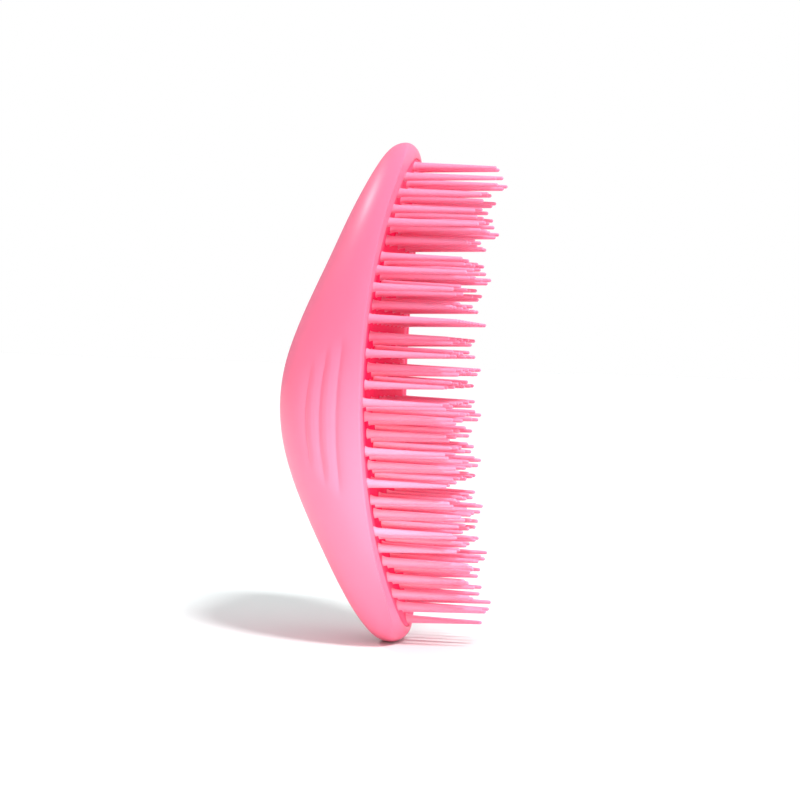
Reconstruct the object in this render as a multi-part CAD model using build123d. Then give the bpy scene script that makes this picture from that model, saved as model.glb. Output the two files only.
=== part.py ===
"""Palm-held scalp massager brush.

Frame: +Z runs up the long axis of the brush, +X is the way the bristles point,
and Y is the width, with the brush symmetric about Y = 0. The origin is the middle
of the small flat on the lower end. Millimetres throughout.

Pieces: the hollow palm shell, the saddle-shaped bristle plate that closes it, and
one group of teeth for each cross row, because each row leans on its own as hair
passes through it.
"""
from build123d import *
import math
import os

# ---------------------------------------------------------------- driving sizes
LENGTH = 115.0            # end to end, along Z
WIDTH = 65.0              # side to side, along Y
OUTLINE_POWER = 2.1       # superellipse power of the plan outline (2 = ellipse)
END_ALLOWANCE = 0.8       # the outline runs this far past each end, which leaves a flat
MID_Z = LENGTH / 2

SADDLE_LOW_X = -3.3       # lowest point of the front rim
SADDLE_Z = 60.5           # height of that point, a little above mid length
SADDLE_R = 215.0          # the rim is an arc of this radius along the length
FRONT_MARGIN = 8.0        # stock ahead of the rim before the front is trimmed

# back profile: (height along Z, X of the spine)
SPINE = [
    (0.0, -1.5), (1.6, -4.0), (4.0, -6.2), (8.5, -9.3), (15.0, -12.9),
    (22.0, -16.3), (31.0, -20.6), (40.0, -24.3), (49.0, -26.4), (56.0, -26.8),
    (63.0, -26.0), (70.0, -24.1), (77.0, -21.3), (86.5, -17.1), (96.0, -13.1),
    (104.0, -9.4), (109.5, -6.6), (112.6, -4.4), (114.2, -2.9), (115.0, -1.5),
]
DOME_Y_POWER = 2.3        # cross-section: how square its shoulders are
DOME_X_POWER = 1.9

SIDE_WALL = 3.1           # rim wall, which carries the seat of the plate
BACK_WALL = 2.3
CAVITY_END = 5.0          # solid material left at each end

# rounded end lips, out from the middle of each end: (distance from the end, X)
LIP_LOW = [(0.0, 1.5), (1.1, 2.6), (2.9, 3.5)]
LIP_HIGH = [(0.0, 0.9), (1.1, 1.75), (2.9, 2.3)]

PLATE_HALF_L = 53.8
PLATE_HALF_W = 30.3
PLATE_RECESS = 0.4        # face of the plate below the rim
PLATE_THICK = 2.8
PLATE_GAP = 0.1           # all round the edge

PEG_R, PEG_LEN, PEG_FIT = 2.0, 7.0, 0.05
BOSS_R, BOSS_DEPTH = 3.6, 9.0
PEGS = [(-17.1, -26.0), (17.1, -26.0), (-17.1, 26.0), (17.1, 26.0)]  # Y, Z from mid

ROWS = 30
ROW_HALF_SPAN = 52.2
COLUMN_PITCH = 5.7
TOOTH_ROOT_R = 0.95       # also the radius of the round root that a row leans on
TOOTH_TIP_R = 0.42
ROOT_GAP = 0.2            # running gap between the round roots and the plate
# standard tooth, above the plate: at mid length, in the top row and in the bottom row
TOOTH_LEN_MID, TOOTH_LEN_HIGH, TOOTH_LEN_LOW = 17.5, 18.9, 17.2
LONG_EXTRA = 1.9          # every third row is longer
EDGE_MARGIN = 1.75        # least distance from a tooth's axis to the plate's edge
PAIR_SHIFT = 0.25         # the first two rows in each three stand this much closer
WAVE = (0.0, -1.0, 1.0, -0.6, 0.6)   # height offsets of a row's teeth, from its edge inward
OPEN_BELOW = (5, 9, 10, 12, 14, 20, 24)  # rows with a clear lane under them

GRIP_Z = 52.5             # middle height of the grip grooves
# each groove: (X at its middle, bow radius seen from the side, half its height)
GRIP = [(-17.2, 42.0, 10.5), (-13.5, 62.0, 13.5), (-9.3, 120.0, 15.5)]
GROOVE_R, GROOVE_DEPTH = 1.6, 0.55

REST_DIR = (-0.99756, 0.0, 0.06976)  # which way is down when the brush lies on its back
REST_DEPTH = 1.00         # the hump is eased flat by this much, so that it lies still


# ---------------------------------------------------------------- shared shapes
def oval(half_l, half_w, z):
    """Half width of a superellipse outline at height z."""
    t = min(1.0, abs(z - MID_Z) / half_l)
    return half_w * (1 - t**OUTLINE_POWER) ** (1 / OUTLINE_POWER)


def half_width(z):
    return oval(MID_Z + END_ALLOWANCE, WIDTH / 2, z)


def saddle_x(z):
    """X of the rim, an arc along the length and straight across the width."""
    return SADDLE_LOW_X + SADDLE_R - math.sqrt(SADDLE_R**2 - (z - SADDLE_Z) ** 2)


def dome_section(z, half_w, back_x, rim_x, front_x):
    """A U-shaped wire at height z: straight walls ahead of the rim, dome behind it."""
    depth = rim_x - back_x
    points = []
    for i in range(-6, 7):
        a = math.pi / 2 * i / 6
        y = half_w * math.copysign(abs(math.sin(a)) ** (2 / DOME_Y_POWER), a)
        x = rim_x - depth * abs(math.cos(a)) ** (2 / DOME_X_POWER)
        points.append(Vector(x, y, z))
    back = Edge.make_spline(points, tangents=[Vector(-1, 0, 0), Vector(1, 0, 0)])
    p0, p1 = Vector(front_x, -half_w, z), Vector(front_x, half_w, z)
    return Wire([
        Edge.make_line(p0, points[0]),
        back,
        Edge.make_line(points[-1], p1),
        Edge.make_line(p1, p0),
    ])


def blank():
    """The outer form of the shell, before its front is trimmed."""
    wires = []
    for z, x in SPINE:
        rim = min(saddle_x(z), max(0.5, x + 5.0))
        wires.append(dome_section(z, half_width(z), x, rim, saddle_x(z) + FRONT_MARGIN))
    return Solid.make_loft(wires)


def arc_points(offset, z0, z1, steps=2):
    """Points on the saddle arc moved along X by offset."""
    heights = [z0 + (z1 - z0) * i / steps for i in range(steps + 1)]
    return [(saddle_x(z) + offset, z) for z in heights]


def profile_prism(edges, half_y=60.0):
    """Extrude a closed X-Z profile across the width."""
    face = Face(Wire(edges))
    return extrude(face, amount=half_y, dir=(0, 1, 0), both=True)


def edge_line(a, b):
    return Edge.make_line(Vector(a[0], 0, a[1]), Vector(b[0], 0, b[1]))


def edge_arc(a, b, c):
    return Edge.make_three_point_arc(*[Vector(p[0], 0, p[1]) for p in (a, b, c)])


def saddle_band(inner, outer, z0, z1):
    """The layer between two copies of the saddle arc, moved along X."""
    a, b = arc_points(inner, z0, z1), arc_points(outer, z0, z1)
    sides = [edge_arc(*a), edge_line(a[2], b[2]), edge_arc(*b[::-1]), edge_line(b[0], a[0])]
    return profile_prism(sides)


def oval_prism(half_l, half_w, x0, x1):
    """An elliptical outline in the Y-Z plane, extruded along X."""
    face = Plane((x0, 0, MID_Z), x_dir=(0, 0, 1), z_dir=(1, 0, 0)) * Ellipse(half_l, half_w)
    return extrude(face, amount=x1 - x0, dir=(1, 0, 0))


FROM_FACE = (Align.CENTER, Align.CENTER, Align.MIN)


def peg_place(y, dz, ahead):
    """A plane that looks towards -X, this far ahead of the plate's rear face at a peg."""
    z = MID_Z + dz
    face_x = saddle_x(z) - PLATE_RECESS - PLATE_THICK
    return Plane((face_x + ahead, y, z), z_dir=(-1, 0, 0))


def flank_point(x, z, sink):
    """A point under the skin of the flank at X and height z, on the +Y side."""
    i = max(j for j in range(len(SPINE)) if SPINE[j][0] <= z)
    (z0, x0), (z1, x1) = SPINE[i], SPINE[min(i + 1, len(SPINE) - 1)]
    back = x0 + (x1 - x0) * (z - z0) / (z1 - z0)
    rim = saddle_x(z)
    t = (rim - x) / (rim - back)
    y = half_width(z) * (1 - t**DOME_X_POWER) ** (1 / DOME_Y_POWER)
    step = 0.01
    t2 = (rim - x - step) / (rim - back)
    y2 = half_width(z) * (1 - t2**DOME_X_POWER) ** (1 / DOME_Y_POWER)
    slope = (y2 - y) / step                   # dY for a step towards +X
    n = math.hypot(1.0, slope)
    return Vector(x + sink * slope / n, y - sink / n, z)


# ---------------------------------------------------------------- palm shell
outer = blank()

# trim the front to the saddle, with a rounded lip at each end
join_z = 5.0
top = [(x, LENGTH - z) for z, x in LIP_HIGH]
bottom = [(x, z) for z, x in LIP_LOW]
far = 60.0
above, below = LENGTH + 1.0, -1.0
trim_edges = [
    edge_line((bottom[0][0], below), bottom[0]),
    edge_arc(*bottom),
    edge_line(bottom[2], (saddle_x(join_z), join_z)),
    edge_arc(*arc_points(0.0, join_z, LENGTH - join_z)),
    edge_line((saddle_x(LENGTH - join_z), LENGTH - join_z), top[2]),
    edge_arc(*top[::-1]),
    edge_line(top[0], (top[0][0], above)),
    edge_line((top[0][0], above), (far, above)),
    edge_line((far, above), (far, below)),
    edge_line((far, below), (bottom[0][0], below)),
]
front_trim = profile_prism(trim_edges)
shell = outer - front_trim

# the rest flat: a plane square to REST_DIR takes a thin slice off the hump
down = Vector(*REST_DIR)
summit = max((Vector(x, 0, z) for z, x in SPINE), key=lambda point: point.dot(down))
flat_plane = Plane(summit - down * REST_DEPTH, z_dir=down)
shell -= flat_plane * Box(80, 80, 20, align=(Align.CENTER, Align.CENTER, Align.MIN))

# grip grooves on both flanks: round-bottomed, bowed with the hump
for x_mid, radius, half in GRIP:
    bow = radius - math.sqrt(radius**2 - half**2)
    rise = GROOVE_R - GROOVE_DEPTH
    ends = [flank_point(x_mid + bow, GRIP_Z + d * half, -rise) for d in (-1, 1)]
    middle = flank_point(x_mid, GRIP_Z, -rise)
    path = Edge.make_three_point_arc(ends[0], middle, ends[1])
    ring = Plane(path @ 0, z_dir=path % 0) * Circle(GROOVE_R)
    cutter = sweep(ring, path=path)
    for end in ends:
        cutter += Pos(*end) * Sphere(GROOVE_R)
    shell -= cutter
    shell -= mirror(cutter, about=Plane.XZ)

# cavity behind the plate, open to the front
inner_wires = []
for z, x in SPINE:
    if CAVITY_END < z < LENGTH - CAVITY_END:
        w = oval(MID_Z - 3.2, WIDTH / 2 - SIDE_WALL, z)
        inner_wires.append(dome_section(z, w, x + BACK_WALL, saddle_x(z) - 1.0, saddle_x(z) + FRONT_MARGIN))
shell -= Solid.make_loft(inner_wires)

# seat of the plate
seat = oval_prism(PLATE_HALF_L + PLATE_GAP, PLATE_HALF_W + PLATE_GAP, -12.0, 16.0)
seat &= saddle_band(-PLATE_RECESS - PLATE_THICK, 14.0, -4.0, LENGTH + 4.0)
shell -= seat

# bosses that take the plate's pegs
LEAD = 2.0                # boss and bore start this far ahead of the seat
for y, dz in PEGS:
    start = peg_place(y, dz, LEAD)
    boss = start * Cylinder(BOSS_R, 40, align=FROM_FACE)
    boss &= outer
    boss -= saddle_band(-PLATE_RECESS - PLATE_THICK, 30.0, -4.0, LENGTH + 4.0)
    bore = start * Cylinder(PEG_R + PEG_FIT, LEAD + BOSS_DEPTH, align=FROM_FACE)
    shell += boss - bore

# ---------------------------------------------------------------- bristle plate
plate = oval_prism(PLATE_HALF_L, PLATE_HALF_W, -12.0, 16.0)
plate &= saddle_band(-PLATE_RECESS - PLATE_THICK, -PLATE_RECESS, -4.0, LENGTH + 4.0)
for y, dz in PEGS:
    plate += peg_place(y, dz, 1.0) * Cylinder(PEG_R, PEG_LEN + 1.0, align=FROM_FACE)


# ---------------------------------------------------------------- rows of teeth
def row_height(k):
    """Height of row k, counted from the top; the first two of each three stand closer."""
    pitch = 2 * ROW_HALF_SPAN / (ROWS - 1)
    shift = (-PAIR_SHIFT, PAIR_SHIFT, 0.0)[k % 3]
    return MID_Z + ROW_HALF_SPAN - k * pitch + shift


def column_limit(z):
    """Largest Y of a tooth at height z."""
    return oval(PLATE_HALF_L - EDGE_MARGIN + 0.6, PLATE_HALF_W - EDGE_MARGIN, z)


def row_columns(k):
    """Y of each tooth in row k; alternate rows are set over by half a pitch."""
    limit = column_limit(row_height(k))
    first = COLUMN_PITCH / 2 if k % 2 == 0 else 0.0
    ys = []
    n = 0
    while first + n * COLUMN_PITCH <= limit:
        y = first + n * COLUMN_PITCH
        ys += [y] if y == 0 else [-y, y]
        n += 1
    return sorted(ys)


def tooth_height(k, y, edge_y):
    """Height of one tooth: its row's height, offset unless that closes a clear lane."""
    z = row_height(k)
    step = round((edge_y - abs(y)) / COLUMN_PITCH)
    offset = WAVE[step % len(WAVE)]
    blocked = k in OPEN_BELOW if offset < 0 else k - 1 in OPEN_BELOW
    if blocked or abs(y) > column_limit(z + offset):
        offset = 0.0
    return z + offset


def tooth(length):
    """A tapered round tooth along +X; the origin is the middle of its round root."""
    root, tip = TOOTH_ROOT_R, TOOTH_TIP_R
    top = length - root - tip
    d = math.sqrt(0.5)
    edges = [
        Edge.make_line((-root, 0, 0), (top + tip, 0, 0)),
        Edge.make_three_point_arc((top + tip, 0, 0), (top + tip * d, tip * d, 0), (top, tip, 0)),
        Edge.make_line((top, tip, 0), (0, root, 0)),
        Edge.make_three_point_arc((0, root, 0), (-root * d, root * d, 0), (-root, 0, 0)),
    ]
    return revolve(Face(Wire(edges)), axis=Axis.X)


def root_x(z):
    """X of a round root's middle, where it just clears the sloping plate."""
    off = -PLATE_RECESS + ROOT_GAP + TOOTH_ROOT_R
    slope = (z - SADDLE_Z) / (SADDLE_R + PLATE_RECESS)
    return saddle_x(z) - PLATE_RECESS + (off + PLATE_RECESS) / math.sqrt(1 - slope**2)


rows = {}
for k in range(ROWS):
    z = row_height(k)
    end_length = TOOTH_LEN_HIGH if z > MID_Z else TOOTH_LEN_LOW
    length = TOOTH_LEN_MID + (end_length - TOOTH_LEN_MID) * ((z - MID_Z) / ROW_HALF_SPAN) ** 2
    if k % 3 == 1:
        length += LONG_EXTRA
    one = tooth(length).solids()[0]
    ys = row_columns(k)
    heights = [tooth_height(k, y, max(ys)) for y in ys]
    teeth = [Pos(root_x(h), y, h) * one for y, h in zip(ys, heights)]
    rows[f"bristle_row_{k + 1:02d}"] = Compound(children=teeth)

# ---------------------------------------------------------------- files
os.makedirs("parts", exist_ok=True)


def one_solid(shape):
    found = sorted(shape.solids(), key=lambda s: s.volume, reverse=True)
    return found[0]


export_step(one_solid(shell), "parts/back_shell.step")
export_step(one_solid(plate), "parts/bristle_plate.step")
for name, shape in rows.items():
    export_step(shape, f"parts/{name}.step")

print("teeth", sum(len(row_columns(k)) for k in range(ROWS)))
for k in range(ROWS):
    z = row_height(k)
    print(f"row {k + 1:02d} lean axis X {root_x(z):.3f} Z {z:.3f} teeth {len(row_columns(k))}")
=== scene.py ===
"""Looks of the palm-held scalp massager brush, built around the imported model.

Frame: +Z runs up the long axis, +X is the way the bristles point, Y is the width.
Shapes are worked out in millimetres and turned into metres when a mesh is made.
"""

import math

import bmesh
import bpy
import numpy as np
from mathutils import Matrix, Vector


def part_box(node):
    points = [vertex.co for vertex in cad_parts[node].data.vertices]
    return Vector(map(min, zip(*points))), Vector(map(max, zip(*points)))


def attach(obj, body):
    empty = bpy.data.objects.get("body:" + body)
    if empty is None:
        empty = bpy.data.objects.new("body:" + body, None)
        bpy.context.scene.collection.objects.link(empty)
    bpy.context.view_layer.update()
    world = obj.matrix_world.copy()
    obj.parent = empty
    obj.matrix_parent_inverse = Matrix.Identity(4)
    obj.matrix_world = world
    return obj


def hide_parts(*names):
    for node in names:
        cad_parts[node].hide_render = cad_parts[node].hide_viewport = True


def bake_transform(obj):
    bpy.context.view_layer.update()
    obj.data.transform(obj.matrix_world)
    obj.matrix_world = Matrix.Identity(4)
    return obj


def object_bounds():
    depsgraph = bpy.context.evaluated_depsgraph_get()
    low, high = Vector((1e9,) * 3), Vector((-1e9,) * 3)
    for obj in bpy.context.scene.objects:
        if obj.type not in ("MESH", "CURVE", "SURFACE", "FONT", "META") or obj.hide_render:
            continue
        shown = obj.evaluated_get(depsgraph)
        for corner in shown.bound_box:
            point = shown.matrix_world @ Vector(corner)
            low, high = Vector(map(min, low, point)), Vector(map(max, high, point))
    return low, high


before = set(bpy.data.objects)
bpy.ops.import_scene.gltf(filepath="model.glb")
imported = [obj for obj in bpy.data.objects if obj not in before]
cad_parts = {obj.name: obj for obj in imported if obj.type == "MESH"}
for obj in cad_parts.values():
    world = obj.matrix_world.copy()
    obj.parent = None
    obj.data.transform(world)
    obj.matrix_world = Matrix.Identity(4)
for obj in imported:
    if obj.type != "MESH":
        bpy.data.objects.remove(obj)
cad_low, cad_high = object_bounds()

# ---------------------------------------------------------------- sizes, in mm
MM = 0.001
shell_low, shell_high = [Vector(corner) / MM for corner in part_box("back_shell")]
plate_low, plate_high = [Vector(corner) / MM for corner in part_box("bristle_plate")]

HALF_L = (shell_high.z - shell_low.z) / 2
MID_Z = (shell_high.z + shell_low.z) / 2
HALF_W = (shell_high.y - shell_low.y) / 2
OUTLINE_POWER = 2.1

SADDLE_LOW_X, SADDLE_Z = -3.3, 60.5
SADDLE_R = 215.0          # the rim and the plate follow this arc along the length
RIM_ROUND = 0.45          # height of the rounded rim land
TIP_X = -0.1              # where the widest line ends, at the two ends of the shell
TIP_DROP_FROM = 44.0      # distance from mid length where it starts to drop to that
RIM_EASE = 0.55           # how far the rim itself is eased down at the ends

# back profile: (height, X), smooth and closed at both ends
SPINE = [
    (0.0, 0.0), (1.6, -4.0), (4.0, -6.2), (8.5, -9.3), (15.0, -12.9),
    (22.0, -16.4), (31.0, -20.7), (40.0, -24.3), (48.0, -26.3), (55.5, -26.8),
    (63.0, -25.9), (70.0, -23.8), (77.5, -20.8), (86.5, -16.8), (96.0, -12.8),
    (104.0, -9.2), (109.5, -6.4), (112.6, -4.4), (114.2, -2.7), (115.0, 0.0),
]
DOME_Y_POWER = 2.3
DOME_X_POWER = 1.9

PLATE_HALF_L = (plate_high.z - plate_low.z) / 2
PLATE_HALF_W = (plate_high.y - plate_low.y) / 2
PLATE_RECESS = 0.4
PLATE_THICK = 2.8
PLATE_GAP = 0.1
EDGE_ROUND = 0.25

CAVITY_HALF_L, CAVITY_HALF_W = 49.5, 29.0
BACK_WALL = 2.3

PEG_R, PEG_LEN, PEG_BEVEL = 2.0, 7.0, 0.4
PEG_Y, PEG_Z = 17.1, 26.0

# grip grooves on each flank: (X at the middle, bow radius, half its height)
GRIP_Z = 52.2
GRIP = [(-17.2, 42.0, 10.5), (-13.5, 62.0, 13.5), (-9.3, 120.0, 15.5)]
GROOVE_DEPTH = 0.70
GROOVE_REACH = 1.1        # how far its soft shoulders run
GROOVE_SOFT = 0.12        # rounding of its bottom
GROOVE_FADE = 6.0

COLUMN_PITCH = 5.7
TOOTH_SIDES = 22
TOOTH_ROOT_R, TOOTH_TIP_R = 0.95, 0.42
TOOTH_SINK = 1.0          # the foot of a tooth stands this deep in the plate
FLARE, FLARE_REACH = 0.28, 0.45

PAINTED_RIM_LIGHT_SHARE = 0.84, 0.97   # where on the plate its painted rim light starts and is full, as a share of its outline

RING = 480                # points round the shell
DOME_RINGS, LAND_RINGS, CAVITY_RINGS = 150, 12, 30
PLATE_RING, PLATE_RINGS = 240, 36


# ---------------------------------------------------------------- mesh helpers
def skin(rings, start, end):
    """Vertices and faces of a closed skin over rings of equal length, with a point at each end."""
    count, n = len(rings), len(rings[0])
    verts = np.vstack([[start], *rings, [end]])
    first = 1 + n * np.arange(count)
    here = np.arange(n)
    ahead = (here + 1) % n
    faces = [(0, int(first[0] + a), int(first[0] + b)) for a, b in zip(here, ahead)]
    for low, high in zip(first[:-1], first[1:]):
        faces += [tuple(map(int, f)) for f in zip(low + here, high + here, high + ahead, low + ahead)]
    last = len(verts) - 1
    faces += [(last, int(first[-1] + b), int(first[-1] + a)) for a, b in zip(here, ahead)]
    return verts, faces


def lathe(profile, centre, sides):
    """A closed round form along +X; profile is (x, radius) rows whose first and last radius is 0."""
    angle = 2 * math.pi * np.arange(sides) / sides
    x0, y0, z0 = centre
    rings = []
    for x, r in profile[1:-1]:
        ring = np.column_stack([np.full(sides, x0 + x), y0 + r * np.cos(angle), z0 + r * np.sin(angle)])
        rings.append(ring)
    return skin(rings, (x0 + profile[0][0], y0, z0), (x0 + profile[-1][0], y0, z0))


def joined(parts):
    """One vertex array and face list from several."""
    verts, faces, base = [], [], 0
    for v, f in parts:
        verts.append(v)
        faces += [tuple(i + base for i in face) for face in f]
        base += len(v)
    return np.vstack(verts), faces


def make_object(name, verts, faces, material, sharp_degrees=40):
    """A smooth-shaded mesh object in metres, with its faces turned outward."""
    mesh = bpy.data.meshes.new(name)
    mesh.from_pydata((np.asarray(verts) * MM).tolist(), [], faces)
    bm = bmesh.new()
    bm.from_mesh(mesh)
    bmesh.ops.recalc_face_normals(bm, faces=bm.faces)
    bm.to_mesh(mesh)
    bm.free()
    mesh.shade_smooth()
    mesh.set_sharp_from_angle(angle=math.radians(sharp_degrees))
    mesh.materials.append(material)
    obj = bpy.data.objects.new(name, mesh)
    bpy.context.scene.collection.objects.link(obj)
    return obj


# ---------------------------------------------------------------- curves
def spline(xs, ys):
    """A smooth curve (natural cubic spline) through the points, as a function."""
    xs, ys = np.asarray(xs, float), np.asarray(ys, float)
    n, h = len(xs), np.diff(xs)
    a, b = np.eye(n), np.zeros(n)
    for i in range(1, n - 1):
        a[i, i - 1:i + 2] = h[i - 1], 2 * (h[i - 1] + h[i]), h[i]
        b[i] = 6 * ((ys[i + 1] - ys[i]) / h[i] - (ys[i] - ys[i - 1]) / h[i - 1])
    m = np.linalg.solve(a, b)

    def value(x):
        i = np.clip(np.searchsorted(xs, x) - 1, 0, n - 2)
        left, right = x - xs[i], xs[i + 1] - x
        cubic = (m[i] * right**3 + m[i + 1] * left**3) / (6 * h[i])
        from_right = (ys[i] / h[i] - m[i] * h[i] / 6) * right
        from_left = (ys[i + 1] / h[i] - m[i + 1] * h[i] / 6) * left
        return cubic + from_right + from_left

    return value


def turn_along(z):
    """Height as an angle from 0 to pi, in which a round end is a smooth curve."""
    return np.arccos(np.clip(1 - np.asarray(z, float) / HALF_L, -1, 1))


spine_curve = spline(turn_along([z for z, _ in SPINE]), [x for _, x in SPINE])


def spine_x(z):
    """X of the middle of the back at height z."""
    return spine_curve(turn_along(z))


def saddle_x(z):
    """X of the rim at height z."""
    return SADDLE_LOW_X + SADDLE_R - np.sqrt(SADDLE_R**2 - (z - SADDLE_Z) ** 2)


def near_end(z):
    """0 along most of the length, rising to 1 at the two ends."""
    return np.clip((np.abs(z - MID_Z) - TIP_DROP_FROM) / (HALF_L - TIP_DROP_FROM), 0, 1) ** 2


def rim_x(z):
    """X of the shell's rim, which is eased down a little at the ends."""
    return saddle_x(z) - RIM_EASE * near_end(z)


def widest_x(z):
    """X of the widest line of the shell, below the rounded rim."""
    below_rim = saddle_x(z) - RIM_ROUND
    return below_rim + (TIP_X - below_rim) * near_end(z)


def power(v, exponent):
    """A power that keeps the sign of v."""
    return np.sign(v) * np.abs(v) ** exponent


def smoothstep(v):
    """0 to 1 with level ends, as v runs from 0 to 1."""
    v = np.clip(v, 0, 1)
    return v * v * (3 - 2 * v)


# ---------------------------------------------------------------- palm shell
def dome(ring_share, cos_a, sin_a, half_w, half_l, back_x, edge_x):
    """One ring of a dome over a superellipse outline, at this share of the way out."""
    share = ring_share**OUTLINE_POWER
    y = half_w * ring_share * power(cos_a, 2 / OUTLINE_POWER)
    z = MID_Z + half_l * ring_share * power(sin_a, 2 / OUTLINE_POWER)
    room = 1 - share * sin_a**2
    t = np.where(room > 1e-9, share * cos_a**2 / np.maximum(room, 1e-9), 1.0) ** (1 / OUTLINE_POWER)
    if ring_share >= 1:
        t = np.ones_like(t)
    bulge = np.maximum(1 - t**DOME_Y_POWER, 0) ** (1 / DOME_X_POWER)
    x = edge_x(z) - (edge_x(z) - back_x(z)) * bulge
    return np.column_stack([x, y, z])


def groove_depth(ring):
    """How deep the grip grooves are at each point of a ring."""
    x, z = ring[:, 0], ring[:, 2]
    depth = np.zeros(len(ring))
    for x_mid, radius, half in GRIP:
        dz = np.clip(z - GRIP_Z, -radius, radius)
        off = x - (x_mid + radius - np.sqrt(radius**2 - dz**2))
        across = np.exp(-(np.sqrt(off**2 + GROOVE_SOFT**2) - GROOVE_SOFT) / GROOVE_REACH)
        along = smoothstep((half + GROOVE_FADE / 2 - np.abs(z - GRIP_Z)) / GROOVE_FADE)
        depth = np.maximum(depth, GROOVE_DEPTH * across * along)
    return depth


def outward(rings):
    """Unit normals of a grid of rings, pointing away from the shell's middle."""
    grid = np.array(rings)
    along = np.gradient(grid, axis=0)
    around = np.roll(grid, -1, axis=1) - np.roll(grid, 1, axis=1)
    normal = np.cross(along, around)
    normal /= np.maximum(np.linalg.norm(normal, axis=2, keepdims=True), 1e-9)
    away = grid - np.array([0.0, 0.0, MID_Z])
    flip = np.sign((normal * away).sum(axis=2, keepdims=True))
    return normal * flip


def make_shell(material):
    """The hollow shell: dome with grooves, rounded rim, plate seat and cavity."""
    angle = 2 * math.pi * np.arange(RING) / RING
    cos_a, sin_a = np.cos(angle), np.sin(angle)
    outer = [
        dome(math.sin(math.pi / 2 * i / DOME_RINGS), cos_a, sin_a, HALF_W, HALF_L, spine_x, widest_x)
        for i in range(1, DOME_RINGS + 1)
    ]
    normals = outward(outer)
    cut = [ring - normal * groove_depth(ring)[:, None] for ring, normal in zip(outer, normals)]

    # rounded land from the widest line to the recess of the plate
    recess_w, recess_l = PLATE_HALF_W + PLATE_GAP, PLATE_HALF_L + PLATE_GAP
    edge = outer[-1]
    rim_y, rim_z = (recess_w + EDGE_ROUND) * cos_a, MID_Z + (recess_l + EDGE_ROUND) * sin_a
    land = []
    for i in range(1, LAND_RINGS + 1):
        a = math.pi / 2 * i / LAND_RINGS
        inward = 1 - math.cos(a)
        land.append(np.column_stack([
            edge[:, 0] + (rim_x(rim_z) - edge[:, 0]) * math.sin(a),
            edge[:, 1] + (rim_y - edge[:, 1]) * inward,
            edge[:, 2] + (rim_z - edge[:, 2]) * inward,
        ]))

    def recess_ring(out, x_off):
        y, z = (recess_w + out) * cos_a, MID_Z + (recess_l + out) * sin_a
        return np.column_stack([rim_x(z) + x_off, y, z])

    corner = [
        recess_ring(EDGE_ROUND * (1 - math.sin(a)), -EDGE_ROUND * (1 - math.cos(a)))
        for a in (math.pi / 6, math.pi / 3, math.pi / 2)
    ]
    seat_x = -PLATE_RECESS - PLATE_THICK
    seat = [recess_ring(0.0, seat_x)]

    def cavity_edge(z):
        return saddle_x(z) + seat_x

    def cavity_back(z):
        return spine_x(z) + BACK_WALL

    cavity = [
        dome(math.sin(math.pi / 2 * i / CAVITY_RINGS), cos_a, sin_a,
             CAVITY_HALF_W, CAVITY_HALF_L, cavity_back, cavity_edge)
        for i in range(CAVITY_RINGS, 0, -1)
    ]
    back = (float(spine_x(MID_Z)), 0.0, MID_Z)
    inside = (back[0] + BACK_WALL, 0.0, MID_Z)
    verts, faces = skin(cut + land + corner + seat + cavity, back, inside)
    return make_object("palm_shell", verts, faces, material, sharp_degrees=50)


# ---------------------------------------------------------------- bristle plate
def make_plate(material):
    """The saddle-shaped plate with its four pegs."""
    angle = 2 * math.pi * np.arange(PLATE_RING) / PLATE_RING
    cos_a, sin_a = np.cos(angle), np.sin(angle)

    def ring(inset, share, x_off):
        y = (PLATE_HALF_W - inset) * share * cos_a
        z = MID_Z + (PLATE_HALF_L - inset) * share * sin_a
        return np.column_stack([saddle_x(z) + x_off, y, z])

    face_x, back_x = -PLATE_RECESS, -PLATE_RECESS - PLATE_THICK
    front = [ring(EDGE_ROUND, i / PLATE_RINGS, face_x) for i in range(1, PLATE_RINGS + 1)]
    edge = [
        ring(EDGE_ROUND * (1 - math.sin(a)), 1, face_x - EDGE_ROUND * (1 - math.cos(a)))
        for a in (math.pi / 6, math.pi / 3, math.pi / 2)
    ]
    rear = [ring(0.0, i / PLATE_RINGS, back_x) for i in range(PLATE_RINGS, 0, -1)]
    mid_x = float(saddle_x(MID_Z))
    parts = [skin(front + edge + rear, (mid_x + face_x, 0.0, MID_Z), (mid_x + back_x, 0.0, MID_Z))]
    for y in (-PEG_Y, PEG_Y):
        for dz in (-PEG_Z, PEG_Z):
            foot = float(saddle_x(MID_Z + dz)) + back_x
            profile = [
                (1.0, 0.0), (1.0, PEG_R), (-PEG_LEN + PEG_BEVEL, PEG_R),
                (-PEG_LEN, PEG_R - PEG_BEVEL), (-PEG_LEN, 0.0),
            ]
            parts.append(lathe(profile, (foot, y, MID_Z + dz), 32))
    verts, faces = joined(parts)
    return make_object("tooth_plate", verts, faces, material)


# ---------------------------------------------------------------- teeth
def tooth_profile(length, root_r, tip_r):
    """Rows of (x, radius) from inside the plate, over a flared foot, to the round tip."""
    rows = [(-TOOTH_SINK, 0.0), (-TOOTH_SINK, root_r + FLARE)]
    for x in (0.0, 0.15, 0.35, 0.6, 0.95, 1.5, 2.4, 5.0, 9.0, 13.0):
        straight = root_r + (tip_r - root_r) * x / (length - tip_r)
        rows.append((x, straight + FLARE * math.exp(-x / FLARE_REACH)))
    for i in range(0, 5):
        a = math.pi / 2 * i / 5
        rows.append((length - tip_r + tip_r * math.sin(a), tip_r * math.cos(a)))
    rows.append((length, 0.0))
    return rows


def teeth_of(node):
    """Y, Z and the X of the tip of each tooth in a CAD row, read from its mesh."""
    points = np.array([v.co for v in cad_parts[node].data.vertices]) / MM
    column = np.rint(points[:, 1] / (COLUMN_PITCH / 2))
    found = []
    for c in np.unique(column):
        own = points[column == c]
        low, high = own.min(axis=0), own.max(axis=0)
        found.append(((low[1] + high[1]) / 2, (low[2] + high[2]) / 2, high[0]))
    return found


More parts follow.
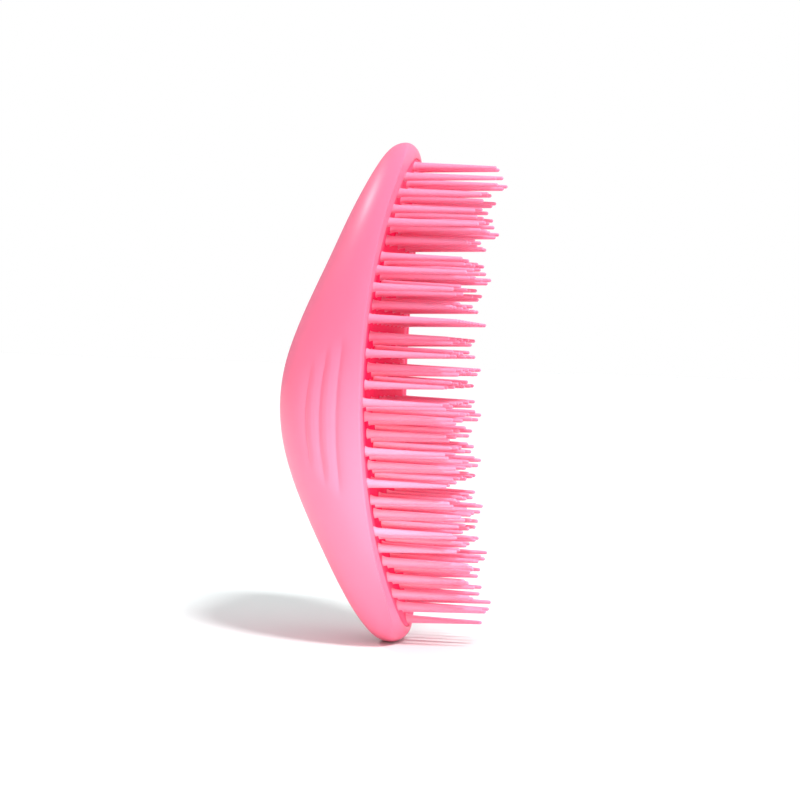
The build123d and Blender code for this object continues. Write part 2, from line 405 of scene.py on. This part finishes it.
def make_row(number, material):
    """One cross row of teeth, standing from the plate."""
    node = f"bristle_row_{number:02d}"
    teeth = teeth_of(node)
    parts = []
    for y, z, tip in teeth:
        foot = float(saddle_x(z)) - PLATE_RECESS
        parts.append(lathe(tooth_profile(tip - foot, TOOTH_ROOT_R, TOOTH_TIP_R), (foot, y, z), TOOTH_SIDES))
    row = make_object(f"teeth_row_{number:02d}", *joined(parts), material)
    z = sum(z for _, z, _ in teeth) / len(teeth)
    foot = float(saddle_x(z)) - PLATE_RECESS
    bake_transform(row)
    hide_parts(node)
    return row


# ---------------------------------------------------------------- materials
def plastic(name, colour, roughness, specular, subsurface, grain, bump_height):
    """Satin moulded plastic: slow colour drift, a fine moulded grain and a soft gloss that varies."""
    material = bpy.data.materials.new(name)
    material.use_nodes = True
    nodes, links = material.node_tree.nodes, material.node_tree.links
    shader = nodes["Principled BSDF"]
    shader.inputs["Subsurface Weight"].default_value = subsurface
    shader.inputs["Subsurface Radius"].default_value = (0.0025, 0.0010, 0.0012)
    shader.inputs["Subsurface Scale"].default_value = 1.0
    shader.inputs["IOR"].default_value = 1.47
    shader.inputs["Specular IOR Level"].default_value = specular
    place = nodes.new("ShaderNodeTexCoord")

    drift = nodes.new("ShaderNodeTexNoise")
    drift.inputs["Scale"].default_value = 28.0
    drift.inputs["Detail"].default_value = 2.0
    links.new(place.outputs["Object"], drift.inputs["Vector"])
    tone = nodes.new("ShaderNodeValToRGB")
    tone.color_ramp.elements[0].position, tone.color_ramp.elements[1].position = 0.3, 0.7
    tone.color_ramp.elements[0].color = (*[c * 0.965 for c in colour], 1)
    tone.color_ramp.elements[1].color = (*colour, 1)
    links.new(drift.outputs["Fac"], tone.inputs["Fac"])
    links.new(tone.outputs["Color"], shader.inputs["Base Color"])

    fine = nodes.new("ShaderNodeTexNoise")
    fine.inputs["Scale"].default_value = grain
    fine.inputs["Detail"].default_value = 3.0
    links.new(place.outputs["Object"], fine.inputs["Vector"])
    gloss = nodes.new("ShaderNodeMapRange")
    gloss.inputs["To Min"].default_value = roughness - 0.04
    gloss.inputs["To Max"].default_value = roughness + 0.04
    links.new(fine.outputs["Fac"], gloss.inputs["Value"])
    links.new(gloss.outputs["Result"], shader.inputs["Roughness"])
    bump = nodes.new("ShaderNodeBump")
    bump.inputs["Strength"].default_value = 0.25
    bump.inputs["Distance"].default_value = bump_height
    links.new(fine.outputs["Fac"], bump.inputs["Height"])
    links.new(bump.outputs["Normal"], shader.inputs["Normal"])
    return material


def paint_plate_rim_light(material, colour):
    """Turn the plate's colour towards this lighter one near its outline, as painted light on its rim; the
    deep crimson within is partly the plate's own colour and partly painted shade among the teeth.
    """
    nodes, links = material.node_tree.nodes, material.node_tree.links
    shader = nodes["Principled BSDF"]
    inner = shader.inputs["Base Color"].links[0].from_socket
    place = nodes.new("ShaderNodeTexCoord")
    spread = nodes.new("ShaderNodeVectorMath")
    spread.operation = "MULTIPLY_ADD"
    spread.inputs[1].default_value = (0, 1 / (PLATE_HALF_W * MM), 1 / (PLATE_HALF_L * MM))
    spread.inputs[2].default_value = (0, 0, -MID_Z / PLATE_HALF_L)
    links.new(place.outputs["Object"], spread.inputs[0])
    reach = nodes.new("ShaderNodeVectorMath")
    reach.operation = "LENGTH"
    links.new(spread.outputs["Vector"], reach.inputs[0])
    # painted light: the plate turns lighter towards its outline, where light reaches between the outer
    # teeth
    rim_light_mask = nodes.new("ShaderNodeMapRange")
    rim_light_mask.inputs["From Min"].default_value, rim_light_mask.inputs["From Max"].default_value = PAINTED_RIM_LIGHT_SHARE
    links.new(reach.outputs["Value"], rim_light_mask.inputs["Value"])
    mix = nodes.new("ShaderNodeMix")
    mix.data_type = "RGBA"
    mix.inputs["B"].default_value = (*colour, 1)
    links.new(rim_light_mask.outputs["Result"], mix.inputs["Factor"])
    links.new(inner, mix.inputs["A"])
    links.new(mix.outputs["Result"], shader.inputs["Base Color"])


shell_plastic = plastic("shell_satin_pink", (0.99, 0.188, 0.326), 0.38, 0.12, 0.04, 2600.0, 0.00002)
# the plate's deep crimson is partly its own colour and partly painted shade among the teeth; near its
# outline it is eased to a lighter pink as painted light
plate_plastic = plastic("plate_satin_pink", (0.93, 0.012, 0.110), 0.55, 0.06, 0.0, 2600.0, 0.00002)
paint_plate_rim_light(plate_plastic, (0.97, 0.14, 0.28))
tooth_plastic = plastic("tooth_soft_pink", (0.99, 0.275, 0.430), 0.42, 0.12, 0.30, 3400.0, 0.00001)

# ---------------------------------------------------------------- the brush
shell = make_shell(shell_plastic)
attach(shell, "handle")
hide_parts("back_shell")

plate = make_plate(plate_plastic)
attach(plate, "handle")
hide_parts("bristle_plate")

row_numbers = sorted(int(n[-2:]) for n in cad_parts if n.startswith("bristle_row_"))
for number in row_numbers:
    make_row(number, tooth_plastic)


# ---------------------------------------------------------------- stage, in metres
FLOOR_HALF = 12.0
FLOOR_GAP = 0.00005       # the floor lies this far below the brush
FLOOR_COLOUR = (0.74, 0.785, 0.785, 1)


def make_floor():
    """A wide, plain, pale floor."""
    half = FLOOR_HALF
    corners = [(-half, -half, 0), (half, -half, 0), (half, half, 0), (-half, half, 0)]
    mesh = bpy.data.meshes.new("floor")
    mesh.from_pydata(corners, [], [(0, 1, 2, 3)])
    material = bpy.data.materials.new("floor_white")
    material.use_nodes = True
    shader = material.node_tree.nodes["Principled BSDF"]
    shader.inputs["Base Color"].default_value = FLOOR_COLOUR
    shader.inputs["Roughness"].default_value = 0.95
    shader.inputs["Specular IOR Level"].default_value = 0.0
    mesh.materials.append(material)
    floor = bpy.data.objects.new("floor", mesh)
    bpy.context.scene.collection.objects.link(floor)
    floor.location.z = cad_low.z - FLOOR_GAP
    return floor


def aim(obj, position, target, roll=0.0):
    """Put a light or camera at position, looking at target."""
    obj.location = position
    look = (Vector(target) - Vector(position)).to_track_quat("-Z", "Y").to_matrix().to_4x4()
    obj.rotation_euler = (look @ Matrix.Rotation(roll, 4, "Z")).to_euler()


make_floor()
scene = bpy.context.scene
scene.view_settings.view_transform = "Standard"

WORLD_LEFT, WORLD_RIGHT = 0.25, 1.0
WORLD_FADE = -0.9, 0.6    # where along X the surround turns from one to the other


def make_world():
    """A surround that looks white but lights the brush less from the left (-X) than the right."""
    world = bpy.data.worlds.new("studio")
    world.use_nodes = True
    nodes, links = world.node_tree.nodes, world.node_tree.links
    background = nodes["Background"]
    background.inputs["Color"].default_value = (1, 1, 1, 1)
    way = nodes.new("ShaderNodeTexCoord")
    parts = nodes.new("ShaderNodeSeparateXYZ")
    links.new(way.outputs["Generated"], parts.inputs["Vector"])
    side = nodes.new("ShaderNodeMapRange")
    side.interpolation_type = "SMOOTHSTEP"
    side.inputs["From Min"].default_value, side.inputs["From Max"].default_value = WORLD_FADE
    side.inputs["To Min"].default_value, side.inputs["To Max"].default_value = WORLD_LEFT, WORLD_RIGHT
    links.new(parts.outputs["X"], side.inputs["Value"])
    ray = nodes.new("ShaderNodeLightPath")
    seen = nodes.new("ShaderNodeMix")
    seen.inputs["B"].default_value = 1.0
    links.new(ray.outputs["Is Camera Ray"], seen.inputs["Factor"])
    links.new(side.outputs["Result"], seen.inputs["A"])
    links.new(seen.outputs["Result"], background.inputs["Strength"])
    return world


scene.world = make_world()

middle = Vector((0, 0, MID_Z * MM))
CAMERA_AZIMUTH = math.radians(9.0)
CAMERA_ROLL = math.radians(1.95)
CAMERA_DISTANCE = 0.508
CAMERA_RISE = 0.010       # the camera stands this much higher than its target
right = Vector((math.cos(CAMERA_AZIMUTH), math.sin(CAMERA_AZIMUTH), 0))
ahead = Vector((-math.sin(CAMERA_AZIMUTH), math.cos(CAMERA_AZIMUTH), 0))

# key: a broad soft source in front, to the right and above
KEY_FALL = 49.0           # degrees above the floor
key_way = (ahead * 0.89 - right * 0.45).normalized()
key_rise = math.tan(math.radians(KEY_FALL))
key = bpy.data.objects.new("key", bpy.data.lights.new("key", "SUN"))
key.data.energy = 2.9
key.data.angle = math.radians(10.0)
scene.collection.objects.link(key)
aim(key, middle - (key_way - Vector((0, 0, key_rise))), middle)

# edge: a soft box behind, to the left and above, for the gloss on the upper back
edge = bpy.data.objects.new("edge", bpy.data.lights.new("edge", "AREA"))
edge.data.shape = "RECTANGLE"
edge.data.size, edge.data.size_y = 0.09, 0.07
edge.data.energy = 1.6
scene.collection.objects.link(edge)
aim(edge, middle + Vector((-0.50, 0.26, 0.42)), middle)

# low: a narrow soft spot near the floor, in front and a little to the left, for the lower shell
LOW_DISTANCE, LOW_LEFT, LOW_RISE = 0.40, 0.03, 0.005
low_light = bpy.data.objects.new("low", bpy.data.lights.new("low", "SPOT"))
low_light.data.energy = 20.0
low_light.data.color = (1.0, 1.0, 0.78)
low_light.data.spot_size, low_light.data.spot_blend = math.radians(7.5), 1.0
low_light.data.shadow_soft_size = 0.03
scene.collection.objects.link(low_light)
low_aim = Vector((-0.015, -0.018, 0.027))
aim(low_light, low_aim - ahead * LOW_DISTANCE - right * LOW_LEFT + Vector((0, 0, LOW_RISE)), low_aim)

camera = bpy.data.objects.new("camera", bpy.data.cameras.new("camera"))
camera.data.lens, camera.data.sensor_width = 99.0, 36.0
camera.data.clip_start, camera.data.clip_end = 0.01, 50.0
scene.collection.objects.link(camera)
scene.camera = camera
target = middle + right * 0.00012 - Vector((0, 0, 0.00173))
eye = target - ahead * CAMERA_DISTANCE + Vector((0, 0, CAMERA_RISE))
aim(camera, eye, target, roll=CAMERA_ROLL)
